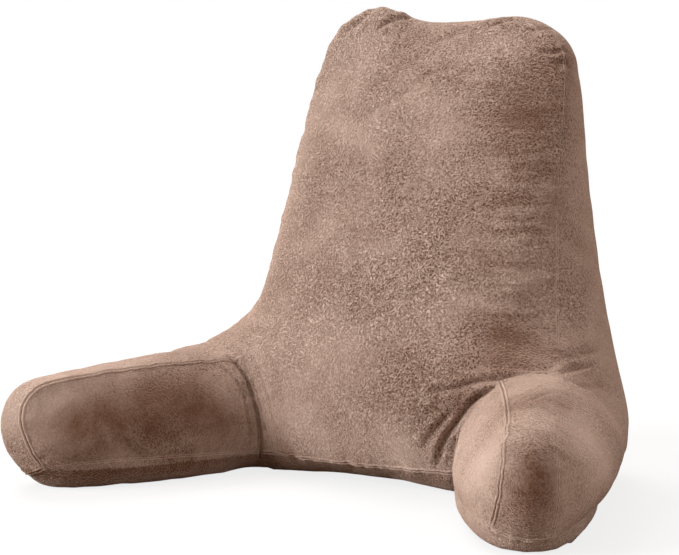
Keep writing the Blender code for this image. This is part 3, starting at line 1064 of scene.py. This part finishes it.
def fill_pile(tree):
    """Put the noises into the pile's group and link them to its sockets."""
    inlet = node(tree, "NodeGroupInput")
    outlet = node(tree, "NodeGroupOutput")
    place = node(tree, "ShaderNodeTexCoord")
    link = tree.links.new

    worms = node(tree, "ShaderNodeTexNoise", Scale=430.0, Detail=1.0, Roughness=0.5, Distortion=0.9)
    zones = node(tree, "ShaderNodeTexNoise", Scale=8.0, Detail=2.0, Roughness=0.5, Distortion=0.6)
    fibres = node(tree, "ShaderNodeTexNoise", Scale=620.0, Detail=2.0, Roughness=0.6)
    patches = node(tree, "ShaderNodeTexNoise", Scale=11.0, Detail=4.0, Roughness=0.62, Distortion=0.7)
    for texture in (worms, zones, fibres, patches):
        link(place.outputs["Object"], texture.inputs["Vector"])
    squeezed = node(tree, "ShaderNodeMapping", Scale=STREAK_SCALE)
    wiped = node(tree, "ShaderNodeTexNoise", Scale=1.0, Detail=4.0, Roughness=0.6, Distortion=0.5)
    link(place.outputs["Object"], squeezed.inputs["Vector"])
    link(squeezed.outputs["Vector"], wiped.inputs["Vector"])

    def mapped_to(texture, low, high, to_low=-0.5, to_high=0.5):
        """A noise's middle values from low to high, spread out from to_low to to_high."""
        mapped = node(tree, "ShaderNodeMapRange", From_Min=low, From_Max=high, To_Min=to_low, To_Max=to_high)
        link(texture.outputs["Fac"], mapped.inputs["Value"])
        return mapped.outputs["Result"]

    def math_of(operation, one, two):
        """The result of a Math node; each input is a number or a socket."""
        made = node(tree, "ShaderNodeMath", operation=operation)
        for socket, value in zip(made.inputs, (one, two)):
            if isinstance(value, float):
                socket.default_value = value
            else:
                link(value, socket)
        return made.outputs["Value"]

    fleck = math_of("MULTIPLY", mapped_to(worms, 0.38, 0.62), mapped_to(zones, 0.36, 0.64, 0.6, 1.3))
    fibre = mapped_to(fibres, 0.3, 0.7)
    patch = mapped_to(patches, 0.34, 0.66)
    streak = math_of("MULTIPLY", mapped_to(wiped, 0.34, 0.66), inlet.outputs["Streaks"])
    fleck = math_of("MULTIPLY", fleck, inlet.outputs["Flecks"])
    tone = math_of("ADD", fleck, math_of("MULTIPLY", patch, inlet.outputs["Patches"]))
    tone = math_of("ADD", tone, math_of("MULTIPLY", fibre, FIBRE_TONE))
    tone = math_of("ADD", math_of("ADD", tone, streak), inlet.outputs["Brushed and shading"])
    tone = math_of("ADD", tone, MIDDLE_TONE)
    mix = node(tree, "ShaderNodeMix", data_type="RGBA", clamp_factor=True)
    link(tone, mix.inputs[MIX_FACTOR])
    link(inlet.outputs["Deep"], mix.inputs[MIX_A])
    link(inlet.outputs["Pale"], mix.inputs[MIX_B])
    link(mix.outputs[MIX_RESULT], outlet.inputs["Color"])
    rough = math_of("ADD", math_of("MULTIPLY", patch, PATCH_ROUGHNESS), PLAIN_ROUGHNESS)
    link(rough, outlet.inputs["Roughness"])
    raised = math_of("MULTIPLY", fleck, FLECK_HEIGHT)
    raised = math_of("ADD", raised, math_of("MULTIPLY", fibre, FIBRE_HEIGHT))
    link(raised, outlet.inputs["Height"])


fill_pile(PILE)
tell("pile group of", len(PILE.nodes), "nodes")

# %% [markdown]
# ## Velvet: its shader
# Seen head-on velvet is deep brown, and towards its outline the tips of the pile catch the light.
# That is the shader's sheen. It could be painted paler along the outline, but such paint would
# slide when the camera moves. How far the pile is brushed, together with painted shade and painted
# light, how strong its flecks are and where it is wiped come from three numbers at each vertex,
# which the next steps write.

# %% Velvet on its shader
DEEP = (0.108, 0.045, 0.021, 1.0)
PALE = (0.650, 0.500, 0.425, 1.0)
PATCHES = 0.30
BRUSH_INPUTS = (("nap_and_shading", "Brushed and shading"), ("flecks", "Flecks"), ("streaks", "Streaks"))
BUMP_DISTANCE = 0.0018
SHEEN_ROUGHNESS = 0.42
SHEEN_TINT = (1.0, 0.72, 0.59, 1.0)
SPECULAR_LEVEL = 0.15


def velvet(name):
    """A velvet finish: the shared pile, with the sheen set on the shader itself."""
    material = bpy.data.materials.new(name)
    material.use_nodes = True
    tree = material.node_tree
    link = tree.links.new
    shader = tree.nodes["Principled BSDF"]
    pile = node(tree, "ShaderNodeGroup", node_tree=PILE)
    pile.inputs["Patches"].default_value = PATCHES
    pile.inputs["Deep"].default_value = DEEP
    pile.inputs["Pale"].default_value = PALE
    for attribute, socket in BRUSH_INPUTS:
        values = node(tree, "ShaderNodeAttribute", attribute_name=attribute)
        link(values.outputs["Fac"], pile.inputs[socket])
    bump = node(tree, "ShaderNodeBump", Strength=1.0, Distance=BUMP_DISTANCE)
    link(pile.outputs["Color"], shader.inputs["Base Color"])
    link(pile.outputs["Roughness"], shader.inputs["Roughness"])
    link(pile.outputs["Height"], bump.inputs["Height"])
    link(bump.outputs["Normal"], shader.inputs["Normal"])
    shader.inputs["Sheen Weight"].default_value = 1.0
    shader.inputs["Sheen Roughness"].default_value = SHEEN_ROUGHNESS
    shader.inputs["Sheen Tint"].default_value = SHEEN_TINT
    shader.inputs["Specular IOR Level"].default_value = SPECULAR_LEVEL
    return material


COVER_VELVET = velvet("velvet_cover")
pieces = {"cover": cover, "seams_plain": strips["plain"], "seams_felled": strips["felled"],
          "stitches": stitches}
for piece in pieces.values():
    piece.data.materials.clear()
    piece.data.materials.append(COVER_VELVET)
    piece.data.polygons.foreach_set("material_index", [0] * len(piece.data.polygons))
tell(COVER_VELVET.name, "on", len(pieces), "pieces")

# %% [markdown]
# ## Where the pile is brushed, and where shade and light are painted
# Where a hand or the stuffing has leaned on the velvet its pile lies over, and the patch is darker
# or paler than the rest. Many patches of the tone table are painted shade instead, as inside the
# left arm, on top of the right arm and under the front, and some are painted light, as on the right
# arm's inner face and outer side. The patches could be painted by hand as vertex colours. Here they
# are named by where they show in the photograph, with a reach in metres and an amount, so that each
# one can be corrected by itself. There are three tables: the tone with its painted shade and light,
# how strongly the worm-like flecks show, and where the pile is wiped in streaks.

# %% Name the brushed patches
BRUSH_COLUMNS = ("at", "reach", "amount")
# tone patches: brushed nap, painted shade (left arm's inner panel, right arm's top, under the front) and
# painted light (right arm's inner face and outer side)
BRUSHED_AND_SHADING = (
    ((82, 424), 0.040, -0.26),
    ((115, 412), 0.045, -0.27),
    ((150, 424), 0.045, -0.27),
    ((185, 408), 0.045, -0.27),
    ((222, 422), 0.045, -0.29),
    ((122, 370), 0.045, 0.20),
    ((46, 388), 0.040, 0.22),
    ((532, 455), 0.028, -0.28),
    ((530, 484), 0.030, -0.32),
    ((524, 514), 0.030, -0.30),
    ((478, 470), 0.032, 0.42),
    ((545, 60), 0.050, -0.52),
    ((520, 120), 0.060, -0.44),
    ((440, 215), 0.080, -0.10),
    ((405, 375), 0.060, -0.18),
    ((518, 405), 0.036, -0.42),
    ((550, 398), 0.038, -0.40),
    ((598, 455), 0.045, 0.40),
    ((150, 384), 0.028, -0.38),
    ((108, 390), 0.028, -0.22),
    ((192, 382), 0.028, -0.22),
    ((60, 420), 0.034, -0.20),
    ((10, 420), 0.025, 0.34),
    ((515, 200), 0.060, -0.12),
    ((500, 344), 0.050, -0.36),
    ((538, 352), 0.045, -0.34),
    ((535, 400), 0.035, -0.25),
    ((90, 478), 0.040, -0.25),
    ((180, 472), 0.040, -0.30),
    ((352, 75), 0.055, 0.18),
    ((362, 38), 0.028, 0.22),
    ((395, 440), 0.050, 0.16),
    ((305, 432), 0.045, 0.28),
    ((404, 455), 0.030, 0.46),
    ((592, 385), 0.040, -0.14),
    ((592, 325), 0.050, 0.06),
    ((290, 463), 0.030, -0.50),
    ((496, 540), 0.016, 0.20),
    ((524, 544), 0.016, 0.24),
    ((550, 538), 0.016, 0.20),
)
FLECKED = (
    ((400, 260), 0.110, 0.30),
    ((430, 370), 0.100, 0.06),
    ((290, 330), 0.080, -0.15),
    ((535, 400), 0.045, 0.24),
    ((50, 425), 0.060, -0.30),
    ((120, 415), 0.090, -0.44),
    ((210, 415), 0.070, -0.44),
    ((478, 465), 0.040, -0.20),
    ((530, 480), 0.050, -0.40),
    ((590, 450), 0.050, -0.25),
)
STREAKED = (
    ((515, 110), 0.060, 0.34),
    ((522, 180), 0.060, 0.40),
    ((522, 245), 0.060, 0.40),
    ((515, 315), 0.055, 0.36),
    ((450, 100), 0.060, 0.16),
    ((590, 345), 0.040, 0.24),
    ((540, 480), 0.040, 0.16),
)

tell(len(BRUSHED_AND_SHADING), "brushed,", len(FLECKED), "flecked and", len(STREAKED), "streaked patches")

# %% [markdown]
# ## Brushing and painted shading
# The patches become one number per vertex and table; the tone number holds brushed nap together
# with painted shade and painted light. Folds get painted shade inside. The panel under the lower
# seam gets painted shade too, but not on the right arm. On the seams the groove gets painted shade,
# the lips a painted highlight, and beside the felled seams' lips lies more painted shade.
# Vertex values need no image and no unwrapping, and the export keeps them.

# %% Brush
PLAIN_FLECKS = 0.60
LEAST_FLECKS = 0.04
# painted shade that darkens the inside of each fold
FOLD_SHADE = 75.0       # how much darker a fold is, for each metre of its depth
FOLD_SHADE_WIDTH = 0.8  # in half widths of the fold
UNDER_SEAM = 0.029     # the underside panel ends at this height
UNDER_FADE = 0.004
# painted shade on the downward-facing panel below the lower seam; right of UNDER_SHADE_END, on the right arm,
# none
UNDER_SHADE = -0.55
UNDER_SHADE_END = 0.21  # to the right of this, on the right arm, its pile is as pale as the rest
UNDER_SHADE_FADE = 0.03
LIP_FROM = 0.5         # a point of a seam's profile above this height is on a lip
# painted shade in a seam's groove, a painted highlight on its lips, and the tone beside them (painted shade
# beside felled seams)
SEAM_SHADE_AND_HIGHLIGHT = {"seams_plain": (-0.24, 0.34, 0.02), "seams_felled": (-1.00, 0.26, -0.16)}
PROFILES = {"seams_plain": PLAIN_SEAM, "seams_felled": FELLED_SEAM}
SEAM_FLECKS = 0.6
STITCH_TONE = -0.1
STITCH_FLECKS = 0.2


def painted(co, table, surface):
    """The sum of soft round patches at each vertex."""
    total = np.zeros(len(co))
    for patch in rows(BRUSH_COLUMNS, table):
        place = np.array(cast(surface, *patch["at"]))
        away = np.linalg.norm(co - place, axis=1)
        total += patch["amount"] * np.exp(-(away / patch["reach"]) ** 2)
    return total


surface = surface_of(cover)
for name, piece in pieces.items():
    co = positions(piece.data)
    # painted shade under the lower seam, fading out on the right arm
    under = np.clip((UNDER_SEAM - co[:, 2]) / UNDER_FADE, 0.0, 1.0)
    under *= np.clip((UNDER_SHADE_END - co[:, 0]) / UNDER_SHADE_FADE, 0.0, 1.0)
    nap_and_shading = painted(co, BRUSHED_AND_SHADING, surface) + UNDER_SHADE * under
    flecks = np.maximum(PLAIN_FLECKS + painted(co, FLECKED, surface), LEAST_FLECKS)
    streaks = painted(co, STREAKED, surface)
    # painted shade inside each fold
    for fold in folds:
        away, _ = away_from(fold["line"], co)
        width = FOLD_SHADE_WIDTH * fold["half_width"]
        nap_and_shading -= FOLD_SHADE * fold["depth"] * np.exp(-(away / width) ** 2)
    # painted shade in the seam grooves and beside felled lips, painted highlight on the lips
    if name in PROFILES:
        groove, lip, beside = SEAM_SHADE_AND_HIGHLIGHT[name]
        groove_lip_shading = [groove if across == 0.0 else lip if height > LIP_FROM else beside
                 for across, height in PROFILES[name]]
        nap_and_shading += np.resize(groove_lip_shading, len(co))
        flecks *= SEAM_FLECKS
    if name == "stitches":
        nap_and_shading += STITCH_TONE
        flecks *= STITCH_FLECKS
    for attribute, values in (("nap_and_shading", nap_and_shading), ("flecks", flecks), ("streaks", streaks)):
        piece.data.attributes.new(attribute, "FLOAT", "POINT").data.foreach_set("value", values)
    print("brushed", name, "from", round(nap_and_shading.min(), 2), "to", round(nap_and_shading.max(), 2))
tell("pile brushed")

# %% [markdown]
# ## Studio floor
# The photograph is a cut-out on white, and the pillow stands on nothing. A white floor would throw
# much light up at the cover, which the photograph doesn't show, so the paper's own colour is a dull
# warm brown for light that bounces off it and grey for the camera. An added glow, also for the
# camera alone, lifts it to nearly white and leaves a soft shadow.

# %% Floor
FLOOR_SIZE = 14.0
FLOOR_DROP = 0.0005
FLOOR_GLOW = 0.62      # how far the floor is lifted towards white for the camera
GLOW_STRENGTH = 1.3
BOUNCE_COLOUR = (0.22, 0.155, 0.115, 1.0)
PAPER_COLOUR = (0.4, 0.4, 0.4, 1.0)
PAPER_ROUGHNESS = 0.9

sheet = bmesh.new()
bmesh.ops.create_grid(sheet, x_segments=2, y_segments=2, size=FLOOR_SIZE / 2)
floor = mesh_object("studio_floor", as_mesh(sheet, "studio_floor"))
floor.location.z = -FLOOR_DROP
paper = bpy.data.materials.new("white_paper")
paper.use_nodes = True
tree = paper.node_tree
matt = tree.nodes["Principled BSDF"]
matt.inputs["Roughness"].default_value = PAPER_ROUGHNESS
to_eye = node(tree, "ShaderNodeLightPath")
colour = node(tree, "ShaderNodeMix", data_type="RGBA")
colour.inputs[MIX_A].default_value = BOUNCE_COLOUR
colour.inputs[MIX_B].default_value = PAPER_COLOUR
tree.links.new(to_eye.outputs["Is Camera Ray"], colour.inputs[MIX_FACTOR])
tree.links.new(colour.outputs[MIX_RESULT], matt.inputs["Base Color"])
glow = node(tree, "ShaderNodeEmission", Strength=GLOW_STRENGTH)
glow_share = node(tree, "ShaderNodeMath", operation="MULTIPLY")
glow_share.inputs[1].default_value = FLOOR_GLOW
tree.links.new(to_eye.outputs["Is Camera Ray"], glow_share.inputs[0])
blend = node(tree, "ShaderNodeMixShader")
tree.links.new(glow_share.outputs[0], blend.inputs[0])
tree.links.new(matt.outputs[0], blend.inputs[1])
tree.links.new(glow.outputs[0], blend.inputs[2])
tree.links.new(blend.outputs[0], tree.nodes["Material Output"].inputs["Surface"])
floor.data.materials.append(paper)
floor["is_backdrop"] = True
tell("floor", FLOOR_SIZE, "m wide")

# %% [markdown]
# ## Studio lamps
# The light is soft, from the left and above, with weaker light from the right. Softboxes could be
# area lamps, but their light falls off with distance across the pillow. Four wide suns stand for
# far, large boxes, and a warm surround fills the shade; for the camera the surround is white.

# %% Lamps and surround
LAMPS = (
    # name, bearing from the front, elevation, width in degrees, strength
    ("front_left", -45.0, 20.0, 30.0, 3.75),
    ("back_left", -120.0, 50.0, 35.0, 2.1),
    ("overhead", 10.0, 78.0, 40.0, 0.35),
    ("right", 80.0, 25.0, 40.0, 0.95),
)
FILL_COLOUR = (1.0, 0.76, 0.59, 1.0)
FILL_STRENGTH = 0.34
WHITE = (1.0, 1.0, 1.0, 1.0)


def soft_sun(name, bearing, elevation, width, strength):
    """A wide far lamp that shines on the pillow from a bearing and an elevation."""
    light = bpy.data.lights.new(name, "SUN")
    light.energy = strength
    light.angle = math.radians(width)
    lamp = bpy.data.objects.new(name, light)
    turn = math.radians(bearing)
    rise = math.radians(elevation)
    toward = Vector((math.sin(turn) * math.cos(rise), -math.cos(turn) * math.cos(rise), math.sin(rise)))
    lamp.rotation_euler = toward.to_track_quat("Z", "Y").to_euler()
    bpy.context.scene.collection.objects.link(lamp)


for lamp in LAMPS:
    soft_sun(*lamp)
world = bpy.data.worlds.new("surround")
world.use_nodes = True
bpy.context.scene.world = world
tree = world.node_tree
fill = tree.nodes["Background"]
fill.inputs["Color"].default_value = FILL_COLOUR
fill.inputs["Strength"].default_value = FILL_STRENGTH
seen = node(tree, "ShaderNodeBackground", Color=WHITE, Strength=1.0)
to_eye = node(tree, "ShaderNodeLightPath")
choose = node(tree, "ShaderNodeMixShader")
tree.links.new(to_eye.outputs["Is Camera Ray"], choose.inputs[0])
tree.links.new(fill.outputs[0], choose.inputs[1])
tree.links.new(seen.outputs[0], choose.inputs[2])
tree.links.new(choose.outputs[0], tree.nodes["World Output"].inputs["Surface"])
bpy.context.scene.view_settings.view_transform = "Standard"
tell(len(LAMPS), "lamps")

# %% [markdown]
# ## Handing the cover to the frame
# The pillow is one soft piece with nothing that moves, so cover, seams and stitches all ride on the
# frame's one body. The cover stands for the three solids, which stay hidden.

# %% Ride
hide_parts("backrest", "arm_left", "arm_right")
for piece in pieces.values():
    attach(piece, "root")
tell(len(pieces), "pieces ride on the root")

# %% [markdown]
# ## Sizes
# A dressed piece may stand a few millimetres proud of its solid, but it may not change the object's
# dimensions. Both boxes are printed, the frame's and the finished cover's, so that the two can be
# compared after every run.

# %% Sizes
low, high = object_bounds()
tell("visual box", [round(v, 3) for v in (*low, *high)])
